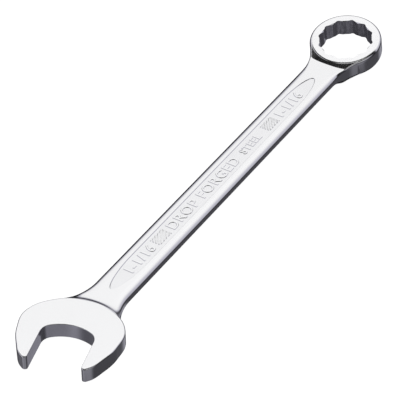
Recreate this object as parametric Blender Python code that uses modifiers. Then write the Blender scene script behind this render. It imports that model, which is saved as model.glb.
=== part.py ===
"""Combination wrench, 1-1/16 in: one drop forging with an open end and a 12-point box end.

The tool is modelled in metres, lying flat as on a bench. Its shank runs along X with the open
end at -X and the box end at +X, and Z is up. The origin is under the middle of the tool.
While it is built, x = 0 is the centre of the box end's top face and y = 0 is the shank's axis.
"""

import math

import bmesh
import bpy
from mathutils import Matrix, Vector

MM = 0.001
INCH = 25.4 * MM

# Driving dimensions
NUT_ACROSS_FLATS = 1.0625 * INCH       # nominal size, 1-1/16 in
NUT_CLEARANCE = 0.16 * MM              # added to the nut in both ends
CENTRE_DISTANCE = 269.4 * MM           # open-end centre to box-end centre

HEAD_THICKNESS = 8.4 * MM
HEAD_EDGE_ROUND = 0.8 * MM
JAW_ANGLE = math.radians(15)           # the jaws point off the shank's axis, toward -Y
THROAT_RADIUS = 21.5 * MM
THROAT_DEPTH = 3.1 * MM                # how far the throat goes behind the nut's centre
THROAT_CORNER_RADIUS = 6.0 * MM

RING_RADIUS = 20.0 * MM
RING_HEIGHT = 10.5 * MM
RING_EDGE_ROUND = 1.8 * MM
RING_TILT = math.radians(10)           # the box end's far side is raised
RING_OFFSET = 7.5 * MM                 # top of the box end above the shank's mid-plane
BORE_CHAMFER_RADIUS = 14.8 * MM        # lead-in cone where it leaves the top face
BORE_CHAMFER_DEPTH = 0.75 * MM

SHANK_HALF_WIDTH = 10.15 * MM
SHANK_HALF_THICKNESS = 3.2 * MM
SHANK_SIDE = 5.15 * MM                 # width of each rounded side, outside the flat crown
SHANK_EDGE_FLAT = 0.15 * MM            # ground off the rounded sides
SHANK_ROUNDNESS = 2.6                  # exponent of the section's superellipse
HEAD_FLARE_RADIUS = 29.0 * MM          # flare of the shank into the open end, seen from above
HEAD_FLARE_REACH = 36.8 * MM           # it starts this far from the open end's centre
HEAD_FLARE_ARC = 15.8 * MM             # length of its round part, which a straight taper follows
RING_FLARE_RADIUS = 26.0 * MM          # flare of the shank into the box end
RAMP_START = -21.5 * MM                # the shank starts to rise to the box end's rim here
RAMP_RADIUS = 2.0 * MM
UNDER_RAMP_START = -30.0 * MM
UNDER_RAMP_RADIUS = 16.0 * MM
RAMP_BELOW_RIM = 0.35 * MM             # it stops this far below the top face
UNDER_RAMP_ABOVE_FACE = 1.2 * MM

PANEL_HALF_WIDTH = 5.2 * MM
PANEL_DEPTH = 0.3 * MM
PANEL_ENDS = (-234.6 * MM, -35.2 * MM)
PANEL_TAPER = 24.0 * MM                # length of each pointed end

QUADRANT_STEPS = 6
RING_STEPS = 60
CUT_MARGIN = 6.0 * MM                  # how far a cutter passes the surface it cuts

# Derived dimensions
OPENING_HALF = (NUT_ACROSS_FLATS + NUT_CLEARANCE) / 2
HEAD_X = -CENTRE_DISTANCE
HEAD_MID_Z = HEAD_THICKNESS / 2
RING_TOP_Z = (
    RING_EDGE_ROUND
    + (RING_RADIUS - RING_EDGE_ROUND) * math.sin(RING_TILT)
    + (RING_HEIGHT - RING_EDGE_ROUND) * math.cos(RING_TILT)
)                                      # its lowest edge is level with the open end's underside
SHANK_SLOPE = (RING_TOP_Z - RING_OFFSET - HEAD_MID_Z) / CENTRE_DISTANCE
RING_FLARE_X = -math.sqrt(
    (RING_RADIUS + RING_FLARE_RADIUS) ** 2 - (SHANK_HALF_WIDTH + RING_FLARE_RADIUS) ** 2
)                                      # where the flare that is tangent to the box end starts


def clear_scene():
    for old in list(bpy.data.objects):
        bpy.data.objects.remove(old, do_unlink=True)


def new_collection(name):
    collection = bpy.data.collections.new(name)
    bpy.context.scene.collection.children.link(collection)
    return collection


def mesh_object(name, bm, collection):
    mesh = bpy.data.meshes.new(name)
    bmesh.ops.recalc_face_normals(bm, faces=bm.faces)
    bm.to_mesh(mesh)
    bm.free()
    result = bpy.data.objects.new(name, mesh)
    collection.objects.link(result)
    return result


def arc(centre, radius, start_deg, end_deg, steps):
    """Points on a circle, both ends included."""
    points = []
    for i in range(steps + 1):
        angle = math.radians(start_deg + (end_deg - start_deg) * i / steps)
        points.append((centre[0] + radius * math.cos(angle), centre[1] + radius * math.sin(angle)))
    return points


def prism_from_curve(name, curve, half_height, place, collection):
    """A flat closed curve made solid, as a welded mesh."""
    curve.dimensions = "2D"
    curve.fill_mode = "BOTH"
    curve.extrude = half_height
    drawn = bpy.data.objects.new(name + "_outline", curve)
    collection.objects.link(drawn)
    drawn.matrix_world = place
    depsgraph = bpy.context.evaluated_depsgraph_get()
    mesh = bpy.data.meshes.new_from_object(drawn.evaluated_get(depsgraph))
    bm = bmesh.new()
    bm.from_mesh(mesh)
    bmesh.ops.remove_doubles(bm, verts=bm.verts, dist=0.00001)
    bmesh.ops.recalc_face_normals(bm, faces=bm.faces)
    bm.to_mesh(mesh)
    bm.free()
    result = bpy.data.objects.new(name, mesh)
    collection.objects.link(result)
    result.matrix_world = place
    bpy.data.objects.remove(drawn)
    return result


def poly_prism(name, points, half_height, place, collection):
    curve = bpy.data.curves.new(name, "CURVE")
    spline = curve.splines.new("POLY")
    spline.points.add(len(points) - 1)
    for control, (x, y) in zip(spline.points, points):
        control.co = (x, y, 0, 1)
    spline.use_cyclic_u = True
    return prism_from_curve(name, curve, half_height, place, collection)


def round_edges(blank, radius, segments):
    """Rounds the edges between a blank's flat faces and its side wall."""
    bevel = blank.modifiers.new("edge_round", "BEVEL")
    bevel.width = radius
    bevel.segments = segments
    bevel.limit_method = "ANGLE"
    bevel.angle_limit = math.radians(60)


def jaw_place(z):
    """Local +X points out of the jaws, and the origin is the nut's centre in the open end."""
    turned = Matrix.Rotation(math.pi + JAW_ANGLE, 4, "Z")
    return Matrix.Translation((HEAD_X, 0, z)) @ turned


def ring_place():
    """Local Z is the bore's axis, and the origin is the centre of the box end's top face."""
    return Matrix.Translation((0, 0, RING_TOP_Z)) @ Matrix.Rotation(-RING_TILT, 4, "Y")


def make_head(collection):
    """The open end before its mouth is cut, an outline even about the jaws' axis."""
    half = [(-22.4, 0), (-18.9, 14.3), (-7.5, 25.4), (5.0, 25.5), (15.4, 21.9), (23.2, 16.9), (25.5, 11.0)]
    outline = half + [(x, -y) for x, y in reversed(half[1:])]
    curve = bpy.data.curves.new("head", "CURVE")
    curve.resolution_u = 7
    spline = curve.splines.new("BEZIER")
    spline.bezier_points.add(len(outline) - 1)
    for point, (x, y) in zip(spline.bezier_points, outline):
        point.co = (x * MM, y * MM, 0)
        point.handle_left_type = "AUTO"
        point.handle_right_type = "AUTO"
    spline.use_cyclic_u = True
    head = prism_from_curve("forged_wrench_body", curve, HEAD_THICKNESS / 2, jaw_place(HEAD_MID_Z), collection)
    round_edges(head, HEAD_EDGE_ROUND, 3)
    return head


def flare(radius, arc_length, distance):
    """Widening of the shank at this distance into a round flare and its straight taper."""
    round_part = min(max(distance, 0.0), arc_length)
    adjacent = math.sqrt(radius ** 2 - round_part ** 2)
    straight_part = max(distance - arc_length, 0.0)
    return radius - adjacent + straight_part * round_part / adjacent


def shank_half_width(x):
    into_head = flare(HEAD_FLARE_RADIUS, HEAD_FLARE_ARC, HEAD_X + HEAD_FLARE_REACH - x)
    into_ring = flare(RING_FLARE_RADIUS, RING_FLARE_RADIUS / 2, x - RING_FLARE_X)
    return SHANK_HALF_WIDTH + into_head + into_ring


def shank_mid_z(x):
    return HEAD_MID_Z + SHANK_SLOPE * (x - HEAD_X)


def crown(x, ramp_start, ramp_radius, limit):
    """Half-thickness of the shank, with a concave rise toward the box end that stops at a limit."""
    rise = max(0.0, x - ramp_start) ** 2 / (2 * ramp_radius)
    room = max(0.0, limit - SHANK_HALF_THICKNESS)
    return SHANK_HALF_THICKNESS + min(rise, room)


def shank_top(x):
    """Height of the top crown above the mid-plane."""
    top_face = RING_TOP_Z + x * math.tan(RING_TILT)
    return crown(x, RAMP_START, RAMP_RADIUS, top_face - RAMP_BELOW_RIM - shank_mid_z(x))


def shank_bottom(x):
    """Depth of the underside's crown below the mid-plane."""
    under_face = RING_TOP_Z + x * math.tan(RING_TILT) - RING_HEIGHT / math.cos(RING_TILT)
    return crown(x, UNDER_RAMP_START, UNDER_RAMP_RADIUS, shank_mid_z(x) - under_face - UNDER_RAMP_ABOVE_FACE)


def shank_section(x):
    """One closed section: flat crowns joined by superellipse sides with a narrow ground flat."""
    half_width = shank_half_width(x)
    power = 2 / SHANK_ROUNDNESS
    quadrant = []
    for i in range(QUADRANT_STEPS + 1):
        angle = 0.5 * math.pi * i / QUADRANT_STEPS
        y = half_width - SHANK_SIDE * (1 - math.cos(angle) ** power)
        quadrant.append((min(y, half_width - SHANK_EDGE_FLAT), math.sin(angle) ** power))
    top = shank_top(x)
    bottom = shank_bottom(x)
    mid = shank_mid_z(x)
    right_top = [(y, mid + top * h) for y, h in quadrant]
    left_top = [(-y, mid + top * h) for y, h in reversed(quadrant)]
    left_bottom = [(-y, mid - bottom * h) for y, h in quadrant[1:]]
    right_bottom = [(y, mid - bottom * h) for y, h in reversed(quadrant[1:])]
    return [Vector((x, y, z)) for y, z in right_top + left_top + left_bottom + right_bottom]


def make_shank(collection):
    """The shank and both necks, lofted through sections square to X."""
    head_flare = [HEAD_X + HEAD_FLARE_REACH - HEAD_FLARE_ARC * i / 8 for i in range(9)]
    ring_flare = [RING_FLARE_X + 1.2 * MM * i for i in range(14)]
    stations = [HEAD_X + 12 * MM] + head_flare[::-1] + [-150 * MM, -70 * MM] + ring_flare
    bm = bmesh.new()
    loops = [[bm.verts.new(p) for p in shank_section(x)] for x in stations]
    for first, second in zip(loops, loops[1:]):
        for i in range(len(first)):
            j = (i + 1) % len(first)
            bm.faces.new((first[i], first[j], second[j], second[i]))
    bm.faces.new(loops[0][::-1])
    bm.faces.new(loops[-1])
    return mesh_object("shank_blank", bm, collection)


def make_ring(collection):
    """The box end before its bore is cut: a disc with rounded edges, tilted."""
    bm = bmesh.new()
    middle = Matrix.Translation((0, 0, -RING_HEIGHT / 2))
    bmesh.ops.create_cone(
        bm, cap_ends=True, segments=RING_STEPS, radius1=RING_RADIUS, radius2=RING_RADIUS,
        depth=RING_HEIGHT, matrix=middle,
    )
    ring = mesh_object("ring_blank", bm, collection)
    round_edges(ring, RING_EDGE_ROUND, 4)
    ring.matrix_world = ring_place()
    return ring


def make_mouth_cutter(collection):
    """The gap between the jaws: flats, rounded throat corners and a shallow round throat."""
    throat_centre = THROAT_RADIUS - THROAT_DEPTH
    corner_s = OPENING_HALF - THROAT_CORNER_RADIUS
    reach = THROAT_RADIUS - THROAT_CORNER_RADIUS
    corner_a = throat_centre - math.sqrt(reach ** 2 - corner_s ** 2)
    corner_deg = math.degrees(math.atan2(corner_s, corner_a - throat_centre))
    mouth_end = 40 * MM
    half = arc((corner_a, corner_s), THROAT_CORNER_RADIUS, 90, corner_deg, 6)
    half += arc((throat_centre, 0), THROAT_RADIUS, corner_deg, 180, 5)[1:]
    points = [(mouth_end, OPENING_HALF)] + half
    points += [(a, -s) for a, s in reversed(points[:-1])]
    return poly_prism("mouth_cutter", points, HEAD_THICKNESS / 2 + CUT_MARGIN, jaw_place(HEAD_MID_Z), collection)


def make_bore_cutters(collection):
    """Two hexagons, 30 degrees apart, make the 12-point bore. Cones ease both mouths."""
    corner_radius = OPENING_HALF / math.cos(math.pi / 6)
    length = RING_HEIGHT + 2 * CUT_MARGIN
    middle = Matrix.Translation((0, 0, -RING_HEIGHT / 2))
    cutters = []
    for number, turn_deg in enumerate((15, 45)):
        bm = bmesh.new()
        turned = middle @ Matrix.Rotation(math.radians(turn_deg), 4, "Z")
        bmesh.ops.create_cone(
            bm, cap_ends=True, segments=6, radius1=corner_radius, radius2=corner_radius,
            depth=length, matrix=turned,
        )
        cutters.append(mesh_object(f"bore_cutter_{number + 1}", bm, collection))
    for name, side in (("top_chamfer_cutter", 1), ("under_chamfer_cutter", -1)):
        bm = bmesh.new()
        small = BORE_CHAMFER_RADIUS - 2 * BORE_CHAMFER_DEPTH
        large = BORE_CHAMFER_RADIUS + 2 * BORE_CHAMFER_DEPTH
        face = Matrix.Translation((0, 0, RING_HEIGHT / 2 * (side - 1)))
        face = face @ Matrix.Rotation(math.pi / RING_STEPS, 4, "Z")
        radii = (small, large) if side > 0 else (large, small)
        bmesh.ops.create_cone(
            bm, cap_ends=True, segments=RING_STEPS, radius1=radii[0], radius2=radii[1],
            depth=4 * BORE_CHAMFER_DEPTH, matrix=face,
        )
        cutters.append(mesh_object(name, bm, collection))
    for cutter in cutters:
        cutter.matrix_world = ring_place()
    return cutters


def make_panel_cutters(collection):
    """A long recess with pointed ends, sunk into the crown of each face."""
    start, end = PANEL_ENDS
    taper_steps = 7
    half = []
    for i in range(taper_steps + 1):
        t = i / taper_steps
        half.append((start + PANEL_TAPER * t, PANEL_HALF_WIDTH * math.sqrt(1 - (1 - t) ** 1.7)))
    half += [(start + end - x, y) for x, y in reversed(half)]
    points = half + [(x, -y) for x, y in reversed(half[1:-1])]
    depth = 2 * MM
    middle = (start + end) / 2
    lean = Matrix.Rotation(-math.atan(SHANK_SLOPE), 4, "Y")
    cutters = []
    for name, side in (("panel_cutter_top", 1), ("panel_cutter_under", -1)):
        floor = side * (SHANK_HALF_THICKNESS - PANEL_DEPTH + depth)
        place = Matrix.Translation((middle, 0, shank_mid_z(middle) + floor)) @ lean
        local = [(x - middle, y) for x, y in points]
        cutters.append(poly_prism(name, local, depth, place, collection))
    return cutters


def add_boolean(target, other, operation):
    boolean = target.modifiers.new(other.name, "BOOLEAN")
    boolean.operation = operation
    boolean.solver = "EXACT"
    boolean.object = other


def hide_tool(tool):
    tool.hide_render = True
    tool.display_type = "WIRE"


def chrome_material():
    material = bpy.data.materials.new("satin_chrome")
    material.use_nodes = True
    shader = material.node_tree.nodes["Principled BSDF"]
    shader.inputs["Base Color"].default_value = (0.78, 0.78, 0.80, 1)
    shader.inputs["Metallic"].default_value = 1.0
    shader.inputs["Roughness"].default_value = 0.22
    return material


def stand_on_origin(body, parts):
    """Puts the origin under the middle of the finished tool, level with what it rests on."""
    depsgraph = bpy.context.evaluated_depsgraph_get()
    evaluated = body.evaluated_get(depsgraph)
    corners = [body.matrix_world @ v.co for v in evaluated.to_mesh().vertices]
    low = [min(c[i] for c in corners) for i in range(3)]
    high = [max(c[i] for c in corners) for i in range(3)]
    evaluated.to_mesh_clear()
    shift = Vector((-(low[0] + high[0]) / 2, -(low[1] + high[1]) / 2, -low[2]))
    datum = bpy.data.objects.new("tool_datum", None)
    bpy.context.scene.collection.objects.link(datum)
    for part in parts:
        part.parent = datum
    datum.location = shift


def build():
    clear_scene()
    tool_parts = new_collection("combination_wrench")
    cutters = new_collection("cutters")
    body = make_head(tool_parts)
    blanks = [make_shank(cutters), make_ring(cutters)]
    cuts = [make_mouth_cutter(cutters)] + make_panel_cutters(cutters) + make_bore_cutters(cutters)
    for blank in blanks:
        add_boolean(body, blank, "UNION")
    for cut in cuts:
        add_boolean(body, cut, "DIFFERENCE")
    for tool in blanks + cuts:
        hide_tool(tool)
    body.data.shade_smooth()
    body.data.set_sharp_from_angle(angle=math.radians(30))
    body.data.materials.append(chrome_material())
    bpy.context.view_layer.update()
    stand_on_origin(body, [body] + blanks + cuts)
    bpy.context.view_layer.update()


build()
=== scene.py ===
"""Combination wrench: the finished chrome forging, its raised marks and a plain studio.

Lengths are in metres. The forging is shaped with x = 0 at the centre of the box end's top face
and y = 0 on the shank's axis, and is then seated on the frame's box.
"""

import math

import bpy
from mathutils import Matrix, Vector
from mathutils.geometry import interpolate_bezier


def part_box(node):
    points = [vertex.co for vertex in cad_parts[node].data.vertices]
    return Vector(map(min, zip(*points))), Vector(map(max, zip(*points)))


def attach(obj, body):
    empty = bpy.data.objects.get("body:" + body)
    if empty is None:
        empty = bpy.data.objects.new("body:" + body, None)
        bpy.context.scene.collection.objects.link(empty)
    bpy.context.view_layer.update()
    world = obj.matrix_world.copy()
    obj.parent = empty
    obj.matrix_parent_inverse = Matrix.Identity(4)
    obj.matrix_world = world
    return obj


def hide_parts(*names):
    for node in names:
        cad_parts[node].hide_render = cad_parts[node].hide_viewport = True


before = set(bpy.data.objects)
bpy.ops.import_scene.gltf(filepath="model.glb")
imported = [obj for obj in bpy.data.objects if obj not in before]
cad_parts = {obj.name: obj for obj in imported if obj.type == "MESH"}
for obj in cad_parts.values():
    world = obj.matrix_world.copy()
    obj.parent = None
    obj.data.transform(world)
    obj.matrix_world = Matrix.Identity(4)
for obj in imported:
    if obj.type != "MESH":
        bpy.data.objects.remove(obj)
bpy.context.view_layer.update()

MM = 0.001
INCH = 25.4 * MM
CAD_NODE = "forged_wrench_body"

# The frame's driving dimensions
NUT_ACROSS_FLATS = 1.0625 * INCH
NUT_CLEARANCE = 0.16 * MM
CENTRE_DISTANCE = 269.4 * MM
HEAD_THICKNESS = 8.4 * MM
JAW_ANGLE = math.radians(15)
THROAT_RADIUS = 21.5 * MM
THROAT_DEPTH = 3.1 * MM
THROAT_CORNER_RADIUS = 6.0 * MM
RING_RADIUS = 20.0 * MM
RING_HEIGHT = 10.5 * MM
RING_EDGE_ROUND = 1.8 * MM
RING_TILT = math.radians(10)
RING_OFFSET = 7.5 * MM
SHANK_HALF_WIDTH = 10.15 * MM
SHANK_HALF_THICKNESS = 3.2 * MM
SHANK_SIDE = 5.15 * MM
SHANK_EDGE_FLAT = 0.15 * MM
SHANK_ROUNDNESS = 2.6
HEAD_FLARE_RADIUS = 29.0 * MM
HEAD_FLARE_REACH = 36.8 * MM
HEAD_FLARE_ARC = 15.8 * MM
RING_FLARE_RADIUS = 26.0 * MM
UNDER_RAMP_START = -30.0 * MM
UNDER_RAMP_RADIUS = 16.0 * MM
UNDER_RAMP_ABOVE_FACE = 1.2 * MM
PANEL_HALF_WIDTH = 5.2 * MM
PANEL_DEPTH = 0.3 * MM
PANEL_ENDS = (-234.6 * MM, -35.2 * MM)
PANEL_TAPER = 24.0 * MM

# Open end
HEAD_EDGE_ROUND = 0.8 * MM
MOUTH_EDGE_ROUND = 0.3 * MM
MOUTH_BACK = -6 * MM                   # the mouth's flats and throat are all ahead of this
MOUTH_SLACK = 0.05 * MM
THROAT_RIM = 1.2 * MM                  # rims this close to the opening count as the mouth's
JAW_TIP_RADIUS = 1.6 * MM
TIP_SEARCH_START = 10 * MM
TIP_SEARCH_STEP = 0.01 * MM
TIP_STEPS = 9
THROAT_CORNER_STEPS = 14
THROAT_STEPS = 10
HEAD_CURVE_STEPS = 24
RIM_SEGMENTS = 5
HEAD_OUTSIDE = (                       # half of it in mm, along the jaws' axis and away from it
    (-22.4, 0), (-18.9, 14.3), (-7.5, 25.4), (5.0, 25.5), (15.4, 21.9), (23.2, 16.9), (25.5, 11.0),
)
HEAD_ARC_CENTRE = 8.04 * MM            # its back is an arc about this point of the jaws' axis
HEAD_ARC_RADIUS = 30.4 * MM
FILLET_LENGTH = 2.8 * MM               # fillet between shank and open end, on the shank's axis
FILLET_GROWTH = 3.6 * MM               # how much longer it is this far from the axis
FILLET_GROWTH_REACH = 14 * MM
FILLET_GROWTH_LIMIT = 1.5
FILLET_BELOW_TOP = 0.1 * MM
NECK_BEND = 10.0 * MM                  # over this length the loft's stations take the open end's curve

# Rise to the box end
RAMP_FOOT = -21.0 * MM                 # it starts on this straight line
RAMP_BELOW_RIM = 0.26 * MM
RIM_INSET = 1.0 * MM                   # how far inside the box end's wall it meets the rounded rim
RIM_CURVE = 4
RAMP_FOOT_SHARE = 0.2                  # how much of it is its concave foot
RING_SIDE = 1.2 * MM                   # width of the shank's rounded side at the box end
SIDE_NARROWING = 14.0 * MM             # over this length before the rise the side gets that narrow
UNDER_RAMP_BLEND = 1.5 * MM

# Sections of the shank's loft
SHANK_ENDS = (-262 * MM, -9.5 * MM)    # its square ends, buried in the open end and the box end
SECTION_POINTS = 112
MEETING_STEPS = 60
HEAD_BURIED = 1.5 * MM
FILLET_STEPS = 10
NECK_STEP = 1.0 * MM
NECK_STEPS = 15
STRAIGHT_START = -222 * MM
STRAIGHT_STEP = 12 * MM
STRAIGHT_STEPS = 16
RING_NECK_LEAD = 2.6 * MM
RING_NECK_STEP = 0.5 * MM
RING_NECK_STEPS = 40
RING_NECK_GAP = 0.2 * MM
RISE_STEPS = 16
RING_BURIED = 0.8 * MM

# Box end and its 12-point bore
RING_STEPS = 128
RING_SEGMENTS = 7
RING_TRIM = 0.03 * MM                  # its finely rounded rim would stand this far out of the frame's
CUT_MARGIN = 6.0 * MM
BROACH_TURN = 15
BROACH_CORNER = 0.8 * MM
BROACH_RIDGE = 0.5 * MM
BROACH_SEGMENTS = 6
BORE_CHAMFER_RADIUS = 14.65 * MM
BORE_CHAMFER_DEPTH = 0.75 * MM

# Panels
PANEL_WALL_SLOPE = 0.34 * MM
PANEL_CUTTER_DEPTH = 2 * MM
PANEL_END_STEPS = 16
PANEL_END_CROWDING = 1.5               # draws the outline's steps towards the panel's tip
PANEL_END_POWER = 1.7

# Raised marks
SIZE_MARK = "1-1/16"
MARK_HEIGHT = 0.26 * MM
MARK_DRAFT = 0.2 * MM                  # width of a mark's sloping side
MARK_ROOT = 0.3 * MM                   # how deep a mark goes on into the metal
CAPITAL_SHARE = 0.73                   # a capital's height in the typeface's size
LETTER_SPACING = 1.12
LETTER_STEPS = 6
LETTER_THINNING = 0.1
HATCH_BARS = 9
HATCH_PITCH = 1.35 * MM
HATCH_BAR = 0.8 * MM
HATCH_SLANT = math.radians(36)
HATCH_ACROSS = (-3.0, 3.2)

# Finishes
CLOUD_SCALE = 90.0
CLOUD_DETAIL = 4.0
CLOUD_SHARE = 0.6
LINE_DETAIL = 3.0
POLISH_RANGE = (0.3, 0.7)
BODY_SMOOTH_DEG = 30
MARK_SMOOTH_DEG = 40

# Small distances for working on meshes
CLOSE = 0.01 * MM
CLOSE_IN_TEXT = 0.004 * MM
VERY_CLOSE = 0.001 * MM
FLAT_ENOUGH = math.radians(0.05)
SHARP_EDGE = math.radians(60)
UPRIGHT = 0.1

# Studio and camera
FLOOR_SIZE = 30
FLOOR_DROP = 0.05 * MM
FLOOR_GREY = (0.3, 0.3, 0.3, 1)
FLOOR_GLOW = 0.97
WHITE = (1, 1, 1, 1)
KEY_STRENGTH = 1.08
KEY_LEAN = math.radians(28)            # the key's upper edge leans, higher on its right
KEY_EDGE_SHARE = 0.6                   # how bright it still is at its sides
KEY_TOP_GAIN = 1.08
SIDE_TINT = (0.80, 0.79, 0.90, 1)      # its colour there
SKY_BASE = 0.015
STUDIO_TURN = math.radians(-32.5)
CAMERA_PLACE = (-748.427 * MM, -467.913 * MM, 731.870 * MM)
CAMERA_YAW = math.radians(32.512)
CAMERA_PITCH = math.radians(39.848)
CAMERA_ROLL = math.radians(-0.736)
CAMERA_LENS = 198.83
CAMERA_SENSOR = 36
CAMERA_CLIP = (0.05, 50)

# Derived
OPENING_HALF = (NUT_ACROSS_FLATS + NUT_CLEARANCE) / 2
HEAD_X = -CENTRE_DISTANCE
HEAD_MID_Z = HEAD_THICKNESS / 2
RING_TOP_Z = (
    RING_EDGE_ROUND
    + (RING_RADIUS - RING_EDGE_ROUND) * math.sin(RING_TILT)
    + (RING_HEIGHT - RING_EDGE_ROUND) * math.cos(RING_TILT)
)
SHANK_SLOPE = (RING_TOP_Z - RING_OFFSET - HEAD_MID_Z) / CENTRE_DISTANCE
RING_FLARE_X = -math.sqrt(
    (RING_RADIUS + RING_FLARE_RADIUS) ** 2 - (SHANK_HALF_WIDTH + RING_FLARE_RADIUS) ** 2
)
RING_TANGENT_Y = (
    RING_RADIUS * (SHANK_HALF_WIDTH + RING_FLARE_RADIUS) / (RING_RADIUS + RING_FLARE_RADIUS)
)
HEAD_ARC_X = HEAD_X - HEAD_ARC_CENTRE * math.cos(JAW_ANGLE)
HEAD_ARC_Y = -HEAD_ARC_CENTRE * math.sin(JAW_ANGLE)


# ---------------------------------------------------------------- working by hand, in code

def rest_hands():
    """Leaves edit mode with nothing selected."""
    if bpy.context.mode != "OBJECT":
        bpy.ops.object.mode_set(mode="OBJECT")
    bpy.ops.object.select_all(action="DESELECT")


def pick(piece):
    rest_hands()
    piece.select_set(True)
    bpy.context.view_layer.objects.active = piece


def newest(name):
    """The object that was just added, named."""
    piece = bpy.context.active_object
    piece.name = name
    piece.data.name = name
    return piece


def apply_place(piece):
    pick(piece)
    bpy.ops.object.transform_apply(location=True, rotation=True, scale=True)


def place_by(piece, matrix):
    """Moves the piece's mesh, so that its object stays at the origin."""
    piece.data.transform(matrix)
    piece.data.update()


def apply_modifier(piece, kind, name, **settings):
    pick(piece)
    modifier = piece.modifiers.new(name, kind)
    for key, value in settings.items():
        setattr(modifier, key, value)
    bpy.ops.object.modifier_apply(modifier=name)


def join_solid(piece, other, operation):
    """Cuts or unites two closed solids and puts the second one away."""
    apply_modifier(
        piece, "BOOLEAN", "cut", operation=operation, solver="EXACT",
        object=other, material_mode="TRANSFER",
    )
    bpy.data.objects.remove(other, do_unlink=True)


def split_large_faces(piece):
    """Cuts faces of more than four corners into triangles, so that a cut meets simple faces."""
    apply_modifier(
        piece, "TRIANGULATE", "split", min_vertices=5, quad_method="BEAUTY", ngon_method="BEAUTY",
    )


def merge_close(piece, distance):
    pick(piece)
    bpy.ops.object.mode_set(mode="EDIT")
    bpy.ops.mesh.select_all(action="SELECT")
    bpy.ops.mesh.remove_doubles(threshold=distance)
    bpy.ops.mesh.normals_make_consistent(inside=False)
    bpy.ops.object.mode_set(mode="OBJECT")


def smooth(piece, degrees):
    pick(piece)
    bpy.ops.object.shade_smooth_by_angle(angle=math.radians(degrees))
    apply_modifier(piece, "WEIGHTED_NORMAL", "large_faces_stay_flat", keep_sharp=True)


def outline_solid(name, points, half_height):
    """A flat outline of straight or curved stretches, made a closed slab about z = 0."""
    curve = bpy.data.curves.new(name, "CURVE")
    curve.dimensions = "2D"
    curve.fill_mode = "BOTH"
    curve.extrude = half_height
    spline = curve.splines.new("POLY")
    spline.points.add(len(points) - 1)
    for control, (x, y) in zip(spline.points, points):
        control.co = (x, y, 0, 1)
    spline.use_cyclic_u = True
    return curve_to_solid(name, curve)


def curve_to_solid(name, curve):
    drawn = bpy.data.objects.new(name, curve)
    bpy.context.scene.collection.objects.link(drawn)
    pick(drawn)
    bpy.ops.object.convert(target="MESH")
    piece = newest(name)
    merge_close(piece, CLOSE)
    bpy.ops.object.mode_set(mode="EDIT")
    bpy.ops.mesh.select_all(action="SELECT")
    bpy.ops.mesh.dissolve_limited(angle_limit=FLAT_ENOUGH)
    bpy.ops.object.mode_set(mode="OBJECT")
    return piece


def arc(centre, radius, start_deg, end_deg, steps):
    points = []
    for i in range(steps + 1):
        angle = math.radians(start_deg + (end_deg - start_deg) * i / steps)
        points.append((centre[0] + radius * math.cos(angle), centre[1] + radius * math.sin(angle)))
    return points


def held(share):
    """A share kept between 0 and 1."""
    return min(max(share, 0.0), 1.0)


def ease(share):
    """A share from 0 to 1 that starts and ends gently."""
    return share ** 2 * (3 - 2 * share)


def jaw_place(z):
    turned = Matrix.Rotation(math.pi + JAW_ANGLE, 4, "Z")
    return Matrix.Translation((HEAD_X, 0, z)) @ turned


def ring_place():
    return Matrix.Translation((0, 0, RING_TOP_Z)) @ Matrix.Rotation(-RING_TILT, 4, "Y")


# ---------------------------------------------------------------- the open end

def weigh_edges(piece, rule):
    """Bevel weight of each edge, by a rule on its two end points."""
    weights = piece.data.attributes.get("bevel_weight_edge")
    if weights is None:
        weights = piece.data.attributes.new("bevel_weight_edge", "FLOAT", "EDGE")
    points = piece.data.vertices
    for edge in piece.data.edges:
        first, second = (points[i].co for i in edge.vertices)
        weights.data[edge.index].value = rule(first, second)


def head_curve():
    """Points on the head's smooth outside, from the middle of its back round to the jaws' axis."""
    knots = list(HEAD_OUTSIDE) + [(x, -y) for x, y in reversed(HEAD_OUTSIDE[1:])]
    curve = bpy.data.curves.new("head_outside", "CURVE")
    spline = curve.splines.new("BEZIER")
    spline.bezier_points.add(len(knots) - 1)
    for point, (x, y) in zip(spline.bezier_points, knots):
        point.co = (x * MM, y * MM, 0)
        point.handle_left_type = "AUTO"
        point.handle_right_type = "AUTO"
    spline.use_cyclic_u = True
    guide = bpy.data.objects.new("head_outside", curve)
    bpy.context.scene.collection.objects.link(guide)
    bpy.context.view_layer.update()
    points = []
    stretches = list(zip(spline.bezier_points, spline.bezier_points[1:]))
    for first, second in stretches[:len(HEAD_OUTSIDE) - 1]:
        points += interpolate_bezier(
            first.co, first.handle_right, second.handle_left, second.co, HEAD_CURVE_STEPS,
        )[:-1]
    bpy.data.objects.remove(guide, do_unlink=True)
    return [(p.x, p.y) for p in points]


def jaw_outline():
    """One jaw: the outside, the rounded tip, the flat and half of the throat."""
    outside = head_curve()
    ball = [TIP_SEARCH_START, OPENING_HALF + JAW_TIP_RADIUS]
    while min(math.dist(point, ball) for point in outside) > JAW_TIP_RADIUS:
        ball[0] += TIP_SEARCH_STEP
    nearest = min(range(len(outside)), key=lambda i: math.dist(outside[i], ball))
    touch_x, touch_y = outside[nearest]
    touch_deg = math.degrees(math.atan2(touch_y - ball[1], touch_x - ball[0]))
    tip = arc(ball, JAW_TIP_RADIUS, touch_deg, -90, TIP_STEPS)
    throat_centre = THROAT_RADIUS - THROAT_DEPTH
    corner_s = OPENING_HALF - THROAT_CORNER_RADIUS
    reach = THROAT_RADIUS - THROAT_CORNER_RADIUS
    corner_a = throat_centre - math.sqrt(reach ** 2 - corner_s ** 2)
    corner_deg = math.degrees(math.atan2(corner_s, corner_a - throat_centre))
    corner = arc((corner_a, corner_s), THROAT_CORNER_RADIUS, 90, corner_deg, THROAT_CORNER_STEPS)
    throat = arc((throat_centre, 0), THROAT_RADIUS, corner_deg, 180, THROAT_STEPS)[1:]
    return outside[:nearest] + tip + corner + throat


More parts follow.
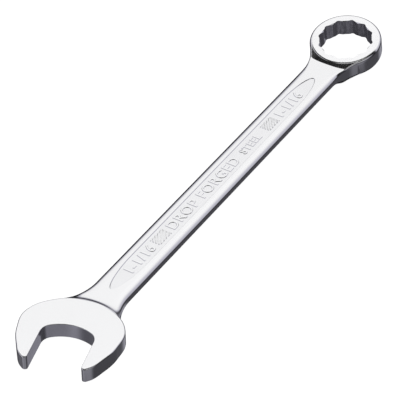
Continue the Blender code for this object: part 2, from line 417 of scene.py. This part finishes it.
def make_open_end():
    """The head with its mouth, its rims eased."""
    half = jaw_outline()
    outline = half + [(x, -y) for x, y in reversed(half[1:-1])]
    head = outline_solid("open_end", outline, HEAD_THICKNESS / 2)
    ease_head_rims(head)
    split_large_faces(head)
    place_by(head, jaw_place(HEAD_MID_Z))
    return head


def in_mouth(centre, normal):
    """True on the upright faces of the throat and the jaws' flats."""
    local = jaw_place(HEAD_MID_Z).inverted() @ centre
    between_flats = abs(local.y) < OPENING_HALF + MOUTH_SLACK
    return abs(normal.z) < UPRIGHT and local.x > MOUTH_BACK and between_flats


def rim_share(point):
    """1 on the head's outside, 0 in the mouth, and in between round the jaw tips."""
    if math.hypot(point.x, point.y) < OPENING_HALF + THROAT_RIM:
        return 0.0
    if point.x < 0:
        return 1.0
    return held((abs(point.y) - OPENING_HALF) / JAW_TIP_RADIUS)


def ease_head_rims(head):
    """Rounds every rim: a little in the mouth, more outside."""
    rim = HEAD_THICKNESS / 2
    least = MOUTH_EDGE_ROUND / HEAD_EDGE_ROUND

    def rim_weight(first, second):
        if abs(abs(first.z + second.z) / 2 - rim) > VERY_CLOSE:
            return 0.0
        return least + (1 - least) * rim_share((first + second) / 2)

    weigh_edges(head, rim_weight)
    apply_modifier(
        head, "BEVEL", "rims", width=HEAD_EDGE_ROUND, segments=RIM_SEGMENTS, limit_method="WEIGHT",
        offset_type="OFFSET", use_clamp_overlap=False,
    )


# ---------------------------------------------------------------- the shank

def flare(radius, arc_length, distance):
    """Widening of the shank at this distance into a round flare and its straight taper."""
    round_part = min(max(distance, 0.0), arc_length)
    adjacent = math.sqrt(radius ** 2 - round_part ** 2)
    straight_part = max(distance - arc_length, 0.0)
    return radius - adjacent + straight_part * round_part / adjacent


def shank_half_width(x):
    into_head = flare(HEAD_FLARE_RADIUS, HEAD_FLARE_ARC, HEAD_X + HEAD_FLARE_REACH - x)
    into_ring = flare(RING_FLARE_RADIUS, RING_FLARE_RADIUS / 2, x - RING_FLARE_X)
    into_ring = min(into_ring, RING_TANGENT_Y - SHANK_HALF_WIDTH)
    return SHANK_HALF_WIDTH + into_head + into_ring


def shank_mid_z(x):
    return HEAD_MID_Z + SHANK_SLOPE * (x - HEAD_X)


def head_wall_x(y):
    """Where the open end's back is, at this distance from the shank's axis."""
    return HEAD_ARC_X + math.sqrt(max(HEAD_ARC_RADIUS ** 2 - (y - HEAD_ARC_Y) ** 2, 0.0))


def head_foot_x(y):
    growth = min((y / FILLET_GROWTH_REACH) ** 2, FILLET_GROWTH_LIMIT)
    return head_wall_x(y) + FILLET_LENGTH + FILLET_GROWTH * growth


def ring_wall_x(y, height):
    """Where the box end's wall is. It leans with the bore, so it is further on lower down."""
    depth = RING_HEIGHT * (1 - height) / 2
    radius = RING_RADIUS - RIM_INSET * max(height, 0.0) ** RIM_CURVE
    across = math.sqrt(max(radius ** 2 - y ** 2, 0.0))
    return depth * math.sin(RING_TILT) - across * math.cos(RING_TILT)


def ramp_share(station):
    """0 at the foot of the rise to the box end and 1 at its wall."""
    on_axis = ring_wall_x(0, 1)
    return held((station - RAMP_FOOT) / (on_axis - RAMP_FOOT))


def fillet_share(station):
    """0 at the foot of the open end's fillet and 1 at its wall."""
    return held((head_foot_x(0) - station) / (head_foot_x(0) - head_wall_x(0)))


def meeting_x(angle, side, end_x):
    """Where one of the section's points meets an end: its y widens on the way there."""
    x = end_x(0, 1)
    for _ in range(MEETING_STEPS):
        y, height = section_place(x, side, angle)
        x = end_x(y, height)
    return x


def make_reach(angle):
    """For one point of the section, where its line along the shank meets both ends."""
    return {
        "head_wall": meeting_x(angle, SHANK_SIDE, lambda y, height: head_wall_x(y)),
        "head_foot": meeting_x(angle, SHANK_SIDE, lambda y, height: head_foot_x(y)),
        "ring_wall": meeting_x(angle, RING_SIDE, ring_wall_x),
    }


def bent_station(station, reach):
    """Stations are straight across the shank and take the curve of each end near it."""
    if station <= SHANK_ENDS[0] or station >= SHANK_ENDS[1]:
        return station
    if station > RAMP_FOOT:
        inside = max(station - ring_wall_x(0, 1), 0.0)
        return RAMP_FOOT + ramp_share(station) * (reach["ring_wall"] - RAMP_FOOT) + inside
    foot = head_foot_x(0)
    if station > foot:
        share = max(1 - (station - foot) / NECK_BEND, 0.0)
        return station + ease(share) * (reach["head_foot"] - foot)
    inside = min(station - head_wall_x(0), 0.0)
    fillet = fillet_share(station) * (reach["head_wall"] - reach["head_foot"])
    return reach["head_foot"] + fillet + inside


def section_place(x, side, angle):
    """Sideways place and height factor of a section's point: flat crowns, rounded sides."""
    half_width = shank_half_width(x)
    power = 2 / SHANK_ROUNDNESS
    quarter = math.atan2(abs(math.sin(angle)), abs(math.cos(angle)))
    first_step = 2 * math.pi / SECTION_POINTS
    flat_angle = math.acos((1 - SHANK_EDGE_FLAT / side) ** (1 / power))
    if quarter < first_step / 2:
        y, height = half_width - SHANK_EDGE_FLAT, 0.0
    elif quarter < math.pi / 4 + first_step / 2:
        share = (quarter - first_step) / (math.pi / 4 - first_step)
        around = flat_angle + (math.pi / 2 - flat_angle) * min(share, 1.0)
        y = half_width - side * (1 - max(math.cos(around), 0.0) ** power)
        height = math.sin(around) ** power
    else:
        y = (half_width - side) * (math.pi / 2 - quarter) / (math.pi / 4)
        height = 1.0
    return math.copysign(y, math.cos(angle)), math.copysign(height, math.sin(angle))


def ramp_profile(share):
    """A concave foot and then a straight rise, from 0 to 1."""
    scale = 1 - RAMP_FOOT_SHARE / 2
    if share < RAMP_FOOT_SHARE:
        return share ** 2 / (2 * RAMP_FOOT_SHARE) / scale
    return (share - RAMP_FOOT_SHARE / 2) / scale


def top_z(station, x, height, ring_wall):
    """Height of the upper surface, with its rise to each end."""
    plain = shank_mid_z(x) + SHANK_HALF_THICKNESS * height
    rim = RING_TOP_Z + ring_wall * math.tan(RING_TILT) - RAMP_BELOW_RIM
    to_ring = ramp_profile(ramp_share(station)) * (rim - plain) * height
    head_top = HEAD_THICKNESS - FILLET_BELOW_TOP
    to_head = fillet_share(station) ** 2 * (head_top - plain) * height
    return plain + to_ring + to_head


def under_z(station, x, height):
    """Height of the underside."""
    mid = shank_mid_z(x)
    rise = max(0.0, x - UNDER_RAMP_START) ** 2 / (2 * UNDER_RAMP_RADIUS)
    face = RING_TOP_Z + x * math.tan(RING_TILT) - RING_HEIGHT / math.cos(RING_TILT)
    room = max(0.0, mid - face - UNDER_RAMP_ABOVE_FACE - SHANK_HALF_THICKNESS)
    depth = SHANK_HALF_THICKNESS + smooth_min(rise, room, UNDER_RAMP_BLEND)
    plain = mid - depth * height
    to_head = fillet_share(station) ** 2 * (plain - FILLET_BELOW_TOP) * height
    return plain - to_head


def smooth_min(first, second, blend):
    """The smaller of two lengths, with the corner between them rounded off."""
    overlap = max(blend - abs(first - second), 0.0)
    return max(min(first, second) - overlap ** 2 / (4 * blend), 0.0)


def shank_point(station, angle, reach):
    """Where one point of the section at this station ends up."""
    narrowing = held((station - RAMP_FOOT) / SIDE_NARROWING + 1)
    side = SHANK_SIDE + (RING_SIDE - SHANK_SIDE) * ease(narrowing)
    x = bent_station(station, reach)
    outermost = max(x, reach["head_wall"])
    y, height = section_place(outermost, side, angle)
    if height > 0:
        return Vector((x, y, top_z(station, x, height, reach["ring_wall"])))
    return Vector((x, y, under_z(station, x, -height)))


def evenly(start, end, steps):
    return [start + (end - start) * i / steps for i in range(steps + 1)]


def shank_stations():
    """Where the loft has a section, from inside the open end to inside the box end."""
    wall, foot = head_wall_x(0), head_foot_x(0)
    inside_head = [SHANK_ENDS[0], wall - HEAD_BURIED]
    fillet = evenly(wall, foot, FILLET_STEPS)
    neck = evenly(foot, foot + NECK_STEP * NECK_STEPS, NECK_STEPS)[1:]
    straight_end = STRAIGHT_START + STRAIGHT_STEP * (STRAIGHT_STEPS - 1)
    straight = evenly(STRAIGHT_START, straight_end, STRAIGHT_STEPS - 1)
    flare_start = RING_FLARE_X - RING_NECK_LEAD
    ring_neck = [flare_start + RING_NECK_STEP * i for i in range(RING_NECK_STEPS)]
    ring_neck = [x for x in ring_neck if x < RAMP_FOOT - RING_NECK_GAP]
    ring_wall = ring_wall_x(0, 1)
    rise = evenly(RAMP_FOOT, ring_wall, RISE_STEPS)
    inside_ring = [ring_wall + RING_BURIED, SHANK_ENDS[1]]
    return inside_head + fillet + neck + straight + ring_neck + rise + inside_ring


def make_shank():
    """A round bar extruded from station to station, then pressed to the shank's section."""
    stations = shank_stations()
    bpy.ops.mesh.primitive_circle_add(
        vertices=SECTION_POINTS, radius=SHANK_HALF_WIDTH, fill_type="NGON",
        rotation=(0, math.pi / 2, 0), location=(stations[0], 0, 0),
    )
    shank = newest("shank")
    apply_place(shank)
    bpy.ops.object.mode_set(mode="EDIT")
    bpy.ops.mesh.select_all(action="SELECT")
    for before, after in zip(stations, stations[1:]):
        move = {"value": (after - before, 0, 0)}
        bpy.ops.mesh.extrude_region_move(TRANSFORM_OT_translate=move)
    bpy.ops.object.mode_set(mode="OBJECT")
    reaches = {}
    for point in shank.data.vertices:
        station = min(stations, key=lambda s: abs(s - point.co.x))
        angle = math.atan2(point.co.z, point.co.y)
        step = round(angle * SECTION_POINTS / (2 * math.pi))
        if step not in reaches:
            reaches[step] = make_reach(angle)
        point.co = shank_point(station, angle, reaches[step])
    merge_close(shank, VERY_CLOSE)
    split_large_faces(shank)
    return shank


# ---------------------------------------------------------------- the box end

def make_ring():
    """The box end as a tilted drum with rounded rims."""
    middle = -(RING_HEIGHT + RING_TRIM) / 2
    bpy.ops.mesh.primitive_cylinder_add(
        vertices=RING_STEPS, radius=RING_RADIUS, depth=RING_HEIGHT - RING_TRIM,
        location=(0, 0, middle),
    )
    ring = newest("box_end")
    apply_place(ring)
    apply_modifier(
        ring, "BEVEL", "rim", width=RING_EDGE_ROUND, segments=RING_SEGMENTS,
        limit_method="ANGLE", angle_limit=SHARP_EDGE,
    )
    split_large_faces(ring)
    place_by(ring, ring_place())
    return ring


def hex_prism(name, turn_deg, length):
    corner_radius = OPENING_HALF / math.cos(math.pi / 6)
    bpy.ops.mesh.primitive_cylinder_add(
        vertices=6, radius=corner_radius, depth=length, location=(0, 0, -RING_HEIGHT / 2),
        rotation=(0, 0, math.radians(turn_deg)),
    )
    prism = newest(name)
    apply_place(prism)
    return prism


def make_bore_cutter():
    """A 12-point broach: two hexagons, 30 degrees apart, with every corner eased."""
    length = RING_HEIGHT + 2 * CUT_MARGIN
    broach = hex_prism("broach", BROACH_TURN, length)
    join_solid(broach, hex_prism("broach_second", BROACH_TURN + 30, length), "UNION")
    merge_close(broach, CLOSE)

    corner_radius = OPENING_HALF / math.cos(math.pi / 6)
    ridge_radius = OPENING_HALF / math.cos(math.pi / 12)
    middle_radius = (corner_radius + ridge_radius) / 2

    def corner_weight(first, second):
        if abs(first.z - second.z) < length / 2:
            return 0.0
        if math.hypot(first.x, first.y) > middle_radius:
            return 1.0
        return BROACH_RIDGE / BROACH_CORNER

    weigh_edges(broach, corner_weight)
    apply_modifier(
        broach, "BEVEL", "corners", width=BROACH_CORNER, segments=BROACH_SEGMENTS,
        limit_method="WEIGHT", offset_type="OFFSET", use_clamp_overlap=False,
    )
    place_by(broach, ring_place())
    return broach


def make_chamfer_cutter(side):
    """A cone that eases the bore's ridges at one face."""
    small = BORE_CHAMFER_RADIUS - 2 * BORE_CHAMFER_DEPTH
    large = BORE_CHAMFER_RADIUS + 2 * BORE_CHAMFER_DEPTH
    radii = (small, large) if side > 0 else (large, small)
    bpy.ops.mesh.primitive_cone_add(
        vertices=RING_STEPS, radius1=radii[0], radius2=radii[1],
        depth=4 * BORE_CHAMFER_DEPTH, location=(0, 0, RING_HEIGHT / 2 * (side - 1)),
        rotation=(0, 0, math.pi / RING_STEPS),
    )
    cone = newest("ridge_chamfer")
    apply_place(cone)
    place_by(cone, ring_place())
    return cone


# ---------------------------------------------------------------- the panels

def make_panel_cutter(side):
    """A long slab with pointed round ends and sloping walls, for the upper or the lower panel."""
    start, end = PANEL_ENDS
    half = []
    for i in range(PANEL_END_STEPS + 1):
        t = (i / PANEL_END_STEPS) ** PANEL_END_CROWDING
        width = PANEL_HALF_WIDTH * math.sqrt(1 - (1 - t) ** PANEL_END_POWER)
        half.append((start + PANEL_TAPER * t, width))
    half += [(start + end - x, y) for x, y in reversed(half)]
    points = half + [(x, -y) for x, y in reversed(half[1:-1])]
    middle = (start + end) / 2
    outline = [(x - middle, y) for x, y in points]
    cutter = outline_solid("panel_cutter", outline, PANEL_CUTTER_DEPTH)
    apply_modifier(
        cutter, "BEVEL", "floor_edge", width=PANEL_WALL_SLOPE, segments=1, limit_method="ANGLE",
        angle_limit=SHARP_EDGE,
    )
    place_by(cutter, panel_place(middle, 0, side, PANEL_CUTTER_DEPTH))
    return cutter


def panel_place(x, y, side, above_floor=0.0):
    """On or above a panel's floor, which leans with the shank."""
    floor = SHANK_HALF_THICKNESS - PANEL_DEPTH + above_floor
    lean = Matrix.Rotation(-math.atan(SHANK_SLOPE), 4, "Y")
    return Matrix.Translation((x, y, shank_mid_z(x) + side * floor)) @ lean


def make_forging(plate, floor_finish, broached, milled):
    """The whole body: the ends joined to the shank, then panels and bore cut out."""
    body = give(make_open_end(), plate)
    give_faces(body, milled, in_mouth)
    join_solid(body, give(make_shank(), plate), "UNION")
    join_solid(body, give(make_ring(), plate), "UNION")
    for side in (1, -1):
        join_solid(body, give(make_panel_cutter(side), floor_finish), "DIFFERENCE")
    join_solid(body, give(make_bore_cutter(), broached), "DIFFERENCE")
    for side in (1, -1):
        join_solid(body, give(make_chamfer_cutter(side), plate), "DIFFERENCE")
    body.name = "chrome_wrench_body"
    body.data.name = "chrome_wrench_body"
    return body


# ---------------------------------------------------------------- raised marks

def seat_on_panel(mark, along, across, side):
    """Fits a mark lying on z = 0 to its place on a panel. Both spans are in millimetres."""
    points = [v.co for v in mark.data.vertices]
    own_low = [min(p[i] for p in points) for i in range(2)]
    own_high = [max(p[i] for p in points) for i in range(2)]
    fit_x = (along[1] - along[0]) * MM / (own_high[0] - own_low[0])
    fit_y = (across[1] - across[0]) * MM / (own_high[1] - own_low[1])
    fit = Matrix.Diagonal((fit_x, fit_y, 1, 1))
    own_middle = [(low + high) / 2 for low, high in zip(own_low, own_high)]
    centre = Matrix.Translation((-own_middle[0], -own_middle[1], 0))
    over = Matrix.Rotation(0 if side > 0 else math.pi, 4, "X")
    middle_x = sum(along) / 2 * MM
    middle_y = side * sum(across) / 2 * MM
    place_by(mark, panel_place(middle_x, middle_y, side) @ over @ fit @ centre)


def raised_text(name, words, along, across, side=1):
    """Words that stand on a panel's floor, with sloping sides."""
    bpy.ops.object.text_add()
    mark = newest(name)
    letters = mark.data
    letters.body = words
    letters.size = (across[1] - across[0]) * MM / CAPITAL_SHARE
    letters.space_character = LETTER_SPACING
    letters.resolution_u = LETTER_STEPS
    letters.offset = -LETTER_THINNING * MARK_DRAFT
    letters.extrude = (MARK_ROOT + MARK_HEIGHT) / 2 - MARK_DRAFT
    letters.bevel_depth = MARK_DRAFT
    letters.bevel_resolution = 0
    pick(mark)
    bpy.ops.object.convert(target="MESH")
    mark = newest(name)
    merge_close(mark, CLOSE_IN_TEXT)
    place_by(mark, Matrix.Translation((0, 0, (MARK_HEIGHT - MARK_ROOT) / 2)))
    seat_on_panel(mark, along, across, side)
    return mark


def hatching_bars(name):
    """Slanting bars side by side, as one piece."""
    bars = []
    first = -(HATCH_BARS - 1) / 2
    length = 3 * (HATCH_ACROSS[1] - HATCH_ACROSS[0]) * MM
    rest_hands()
    for i in range(HATCH_BARS):
        bpy.ops.mesh.primitive_cube_add(
            size=1, location=((first + i) * HATCH_PITCH / math.sin(HATCH_SLANT), 0, 0),
            rotation=(0, 0, HATCH_SLANT), scale=(length, HATCH_BAR, MARK_ROOT + MARK_HEIGHT),
        )
        bar = newest("bar")
        apply_place(bar)
        bars.append(bar)
    rest_hands()
    for bar in bars:
        bar.select_set(True)
    bpy.context.view_layer.objects.active = bars[0]
    bpy.ops.object.join()
    return newest(name)


def raised_hatching(name, along):
    """Slanting bars trimmed to a block."""
    mark = hatching_bars(name)
    length = (along[1] - along[0]) * MM
    width = (HATCH_ACROSS[1] - HATCH_ACROSS[0]) * MM
    bpy.ops.mesh.primitive_cube_add(size=1, scale=(length, width, 4 * MARK_HEIGHT))
    block = newest("block")
    apply_place(block)
    join_solid(mark, block, "INTERSECT")
    apply_modifier(
        mark, "BEVEL", "draft", width=MARK_DRAFT, segments=1, limit_method="ANGLE",
        angle_limit=SHARP_EDGE,
    )
    place_by(mark, Matrix.Translation((0, 0, (MARK_HEIGHT - MARK_ROOT) / 2)))
    seat_on_panel(mark, along, HATCH_ACROSS, 1)
    return mark


def make_marks():
    """Size marks, hatching and generic words on the panels' floors, placed in millimetres."""
    return [
        raised_text("raised_size_mark_open_end", SIZE_MARK, (-219.2, -197.4), (-3.0, 3.0)),
        raised_hatching("raised_hatching_open_end", (-194.6, -183.8)),
        raised_text("raised_forging_mark", "DROP FORGED", (-181.0, -116.5), (-3.1, 3.1)),
        raised_text("raised_steel_mark", "STEEL", (-111.0, -93.5), (-2.4, 2.4)),
        raised_hatching("raised_hatching_box_end", (-87.3, -77.0)),
        raised_text("raised_size_mark_box_end", SIZE_MARK, (-73.6, -51.0), (-3.0, 3.0)),
        raised_text("raised_underside_mark", "CHROME VANADIUM", (-190.0, -95.0), (-2.8, 2.8), side=-1),
    ]


# ---------------------------------------------------------------- finishes

class Wiring:
    """Adds nodes to a tree and joins them up."""

    def __init__(self, tree):
        self.nodes = tree.nodes
        self.links = tree.links

    def feed(self, socket, value):
        if isinstance(value, bpy.types.NodeSocket):
            self.links.new(value, socket)
        else:
            socket.default_value = value

    def sums(self, operation, first, second=0.0):
        node = self.nodes.new("ShaderNodeMath")
        node.operation = operation
        self.feed(node.inputs[0], first)
        self.feed(node.inputs[1], second)
        return node.outputs[0]

    def times(self, *values):
        total = values[0]
        for value in values[1:]:
            total = self.sums("MULTIPLY", total, value)
        return total

    def plus(self, *values):
        total = values[0]
        for value in values[1:]:
            total = self.sums("ADD", total, value)
        return total

    def eased(self, value, low, high, to_low=0.0, to_high=1.0):
        """Turns one range into another, with gentle ends. It stays at its ends outside the range."""
        node = self.nodes.new("ShaderNodeMapRange")
        node.interpolation_type = "SMOOTHSTEP"
        self.feed(node.inputs["From Min"], low)
        self.feed(node.inputs["From Max"], high)
        self.feed(node.inputs["To Min"], to_low)
        self.feed(node.inputs["To Max"], to_high)
        self.feed(node.inputs["Value"], value)
        return node.outputs["Result"]

    def card(self, *edges, strength):
        """A lit patch of sky. Each edge is a direction's value where it is dark and where it is lit."""
        parts = [self.eased(value, dark, lit) for value, dark, lit in edges]
        return self.times(*parts, strength)

    def noise(self, place, scale, detail):
        node = self.nodes.new("ShaderNodeTexNoise")
        node.inputs["Scale"].default_value = scale
        node.inputs["Detail"].default_value = detail
        self.feed(node.inputs["Vector"], place)
        return node.outputs[0]

    def blend(self, share, first, second):
        node = self.nodes.new("ShaderNodeMix")
        node.data_type = "RGBA"
        self.feed(node.inputs["Factor"], share)
        self.feed(node.inputs[6], first)
        self.feed(node.inputs[7], second)
        return node.outputs[2]


def chrome(name, light, dark, roughness, grain, bump, stretch=(1, 1, 1), turn=(0, 0, 0)):
    """Plated steel: soft clouds in its polish over a fine grain, drawn out where a tool has passed."""
    material = bpy.data.materials.new(name)
    material.use_nodes = True
    wiring = Wiring(material.node_tree)
    shader = material.node_tree.nodes["Principled BSDF"]
    shader.inputs["Metallic"].default_value = 1.0
    place = wiring.nodes.new("ShaderNodeTexCoord").outputs["Object"]
    drawn = wiring.nodes.new("ShaderNodeMapping")
    drawn.vector_type = "POINT"
    drawn.inputs["Rotation"].default_value = turn
    drawn.inputs["Scale"].default_value = stretch
    wiring.feed(drawn.inputs["Vector"], place)
    lines = wiring.noise(drawn.outputs["Vector"], grain, LINE_DETAIL)
    clouds = wiring.noise(place, CLOUD_SCALE, CLOUD_DETAIL)
    wiring.feed(shader.inputs["Base Color"], wiring.blend(lines, dark, light))
    spread = wiring.plus(
        wiring.times(clouds, CLOUD_SHARE), wiring.times(lines, 1 - CLOUD_SHARE),
    )
    wiring.feed(shader.inputs["Roughness"], wiring.eased(spread, *POLISH_RANGE, *roughness))
    relief = wiring.nodes.new("ShaderNodeBump")
    relief.inputs["Strength"].default_value = 1.0
    relief.inputs["Distance"].default_value = bump
    wiring.feed(relief.inputs["Height"], lines)
    wiring.feed(shader.inputs["Normal"], relief.outputs["Normal"])
    return material


def give(piece, material):
    """Gives the whole piece one finish."""
    piece.data.materials.clear()
    piece.data.materials.append(material)
    return piece


def give_faces(piece, material, rule):
    """Puts a second finish on the faces a rule picks by centre and normal."""
    piece.data.materials.append(material)
    last = len(piece.data.materials) - 1
    for face in piece.data.polygons:
        if rule(face.center, face.normal):
            face.material_index = last


def make_finishes():
    """Satin plate, the duller floors of the panels, the broached bore and the milled mouth."""
    plate = chrome(
        "satin_chrome_plate", light=(0.815, 0.815, 0.822, 1), dark=(0.785, 0.785, 0.795, 1),
        roughness=(0.10, 0.17), grain=2600.0, bump=0.0006 * MM,
    )
    floor_finish = chrome(
        "pressed_panel_chrome", light=(0.80, 0.80, 0.81, 1), dark=(0.76, 0.76, 0.775, 1),
        roughness=(0.16, 0.24), grain=1800.0, bump=0.0012 * MM,
    )
    broached = chrome(
        "broached_bore_chrome", light=(0.86, 0.85, 0.88, 1), dark=(0.48, 0.48, 0.51, 1),
        roughness=(0.2, 0.34), grain=1400.0, bump=0.004 * MM,
        stretch=(1, 1, 0.03), turn=(0, RING_TILT, 0),
    )
    milled = chrome(
        "milled_jaw_chrome", light=(0.78, 0.77, 0.80, 1), dark=(0.62, 0.62, 0.65, 1),
        roughness=(0.14, 0.24), grain=1300.0, bump=0.002 * MM, stretch=(1, 1, 0.04),
    )
    return plate, floor_finish, broached, milled


# ---------------------------------------------------------------- studio

def make_floor():
    """A plain white sweep that lights itself, so that no shadow greys it."""
    bpy.ops.mesh.primitive_plane_add(size=FLOOR_SIZE)
    floor = newest("studio_floor")
    floor.location.z = -FLOOR_DROP
    material = bpy.data.materials.new("white_sweep")
    material.use_nodes = True
    shader = material.node_tree.nodes["Principled BSDF"]
    shader.inputs["Base Color"].default_value = FLOOR_GREY
    shader.inputs["Roughness"].default_value = 1.0
    shader.inputs["Emission Color"].default_value = WHITE
    shader.inputs["Emission Strength"].default_value = FLOOR_GLOW
    floor.data.materials.append(material)
    floor.visible_glossy = False


def sky_directions(wiring):
    """How far a direction points forward, left and up, with forward turned along the studio."""
    spin = wiring.nodes.new("ShaderNodeMapping")
    spin.vector_type = "POINT"
    spin.inputs["Rotation"].default_value = (0, 0, STUDIO_TURN)
    around = wiring.nodes.new("ShaderNodeTexCoord").outputs["Generated"]
    wiring.feed(spin.inputs["Vector"], around)
    split = wiring.nodes.new("ShaderNodeSeparateXYZ")
    wiring.feed(split.inputs["Vector"], spin.outputs["Vector"])
    return split.outputs


def key_box(wiring, left, up, rise):
    """The large soft box ahead. Also returns how far a direction is into its bright middle."""
    side = wiring.sums("ABSOLUTE", left)
    from_horizon = wiring.eased(rise, math.radians(3), math.radians(33))
    from_edges = wiring.eased(side, 0.95, 0.2, KEY_EDGE_SHARE, 1.0)
    middle = wiring.times(from_horizon, from_edges)
    above = wiring.eased(up, 0.06, 0.28)
    leaning_rise = wiring.plus(rise, wiring.times(left, KEY_LEAN))
    under_top = wiring.eased(leaning_rise, math.radians(64), math.radians(60))
    glow = wiring.eased(rise, math.radians(34), math.radians(54), 1.0, KEY_TOP_GAIN)
    return wiring.times(middle, above, under_top, glow, KEY_STRENGTH), middle


def high_cards(wiring, forward, left, up, rise):
    """The two large cards, overhead and on the far side, and the dim ones behind and below."""
    side = wiring.sums("ABSOLUTE", left)
    overhead = wiring.card(
        (rise, math.radians(84), math.radians(87)), (rise, math.radians(101), math.radians(97)),
        (side, 0.36, 0.22), strength=0.7,
    )
    far_side = wiring.card((up, 0.06, 0.28), (left, 0.44, 0.62), strength=0.62)
    behind = wiring.card((up, 0.1, 0.25), (up, 0.65, 0.5), (forward, -0.3, -0.55), strength=0.2)
    right_rear = wiring.card(
        (up, 0.25, 0.42), (up, 0.87, 0.78), (left, -0.3, -0.5), (forward, -0.12, -0.3),
        strength=0.42,
    )
    below = wiring.card((up, -0.84, -0.93), strength=0.5)
    return wiring.sums("MAXIMUM", far_side, overhead), wiring.plus(behind, right_rear, below)


def low_cards(wiring, forward, left, up):
    """Cards round the tool at floor height, which its upright walls reflect."""
    level = wiring.sums(
        "SQRT", wiring.plus(wiring.times(forward, forward), wiring.times(left, left)),
    )
    ahead = wiring.sums("DIVIDE", forward, level)
    aside = wiring.sums("DIVIDE", left, level)
    band = wiring.times(wiring.eased(up, 0.3, -0.6), wiring.eased(up, -0.755, -0.70))
    front = wiring.card((ahead, 0.5, 0.8), (aside, -0.2, -0.5), strength=0.38)
    on_left = wiring.card((aside, 0.2, 0.9), strength=0.15)
    on_right = wiring.card((aside, -0.6, -0.9), strength=0.075)
    back = wiring.card((ahead, -0.3, -0.75), strength=0.30)
    return wiring.times(band, wiring.plus(front, on_left, on_right, back))


def make_world():
    """A studio painted on the sky: a large soft box ahead and cards all round."""
    world = bpy.data.worlds.new("studio")
    bpy.context.scene.world = world
    world.use_nodes = True
    wiring = Wiring(world.node_tree)
    forward, left, up = sky_directions(wiring)
    rise = wiring.sums("ARCTAN2", up, forward)
    key, middle = key_box(wiring, left, up, rise)
    large, dim = high_cards(wiring, forward, left, up, rise)
    low = low_cards(wiring, forward, left, up)
    strength = wiring.plus(wiring.sums("MAXIMUM", key, large), dim, low, SKY_BASE)
    tint = wiring.eased(middle, 0.97, KEY_EDGE_SHARE)
    background = wiring.nodes["Background"]
    wiring.feed(background.inputs["Strength"], strength)
    wiring.feed(background.inputs["Color"], wiring.blend(tint, WHITE, SIDE_TINT))


def make_camera():
    """Three-quarter view from above, along the tool."""
    data = bpy.data.cameras.new("camera")
    camera = bpy.data.objects.new("camera", data)
    bpy.context.scene.collection.objects.link(camera)
    data.sensor_width = CAMERA_SENSOR
    data.lens = CAMERA_LENS
    data.clip_start, data.clip_end = CAMERA_CLIP
    level = math.cos(CAMERA_PITCH)
    forward = Vector((
        level * math.cos(CAMERA_YAW), level * math.sin(CAMERA_YAW), -math.sin(CAMERA_PITCH),
    ))
    level_right = Vector((math.sin(CAMERA_YAW), -math.cos(CAMERA_YAW), 0))
    level_up = level_right.cross(forward)
    right = math.cos(CAMERA_ROLL) * level_right + math.sin(CAMERA_ROLL) * level_up
    up = -math.sin(CAMERA_ROLL) * level_right + math.cos(CAMERA_ROLL) * level_up
    turn = Matrix((right, up, -forward)).transposed().to_4x4()
    camera.matrix_world = Matrix.Translation(CAMERA_PLACE) @ turn
    bpy.context.scene.camera = camera


# ---------------------------------------------------------------- putting it together

def seat_in_frame(pieces, body):
    """Brings the finished forging over the frame's box, and its marks with it."""
    low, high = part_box(CAD_NODE)
    corners = [v.co for v in body.data.vertices]
    own_low = [min(c[i] for c in corners) for i in range(3)]
    own_high = [max(c[i] for c in corners) for i in range(3)]
    shift = Vector([
        (low.x + high.x - own_low[0] - own_high[0]) / 2,
        (low.y + high.y - own_low[1] - own_high[1]) / 2,
        low.z - own_low[2],
    ])
    for piece in pieces:
        place_by(piece, Matrix.Translation(shift))


make_camera()
plate, floor_finish, broached, milled = make_finishes()
body = make_forging(plate, floor_finish, broached, milled)
smooth(body, BODY_SMOOTH_DEG)
marks = [give(mark, plate) for mark in make_marks()]
for mark in marks:
    smooth(mark, MARK_SMOOTH_DEG)
seat_in_frame([body] + marks, body)
for piece in [body] + marks:
    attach(piece, "root")
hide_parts(CAD_NODE)
make_floor()
make_world()
bpy.context.scene.view_settings.view_transform = "Standard"
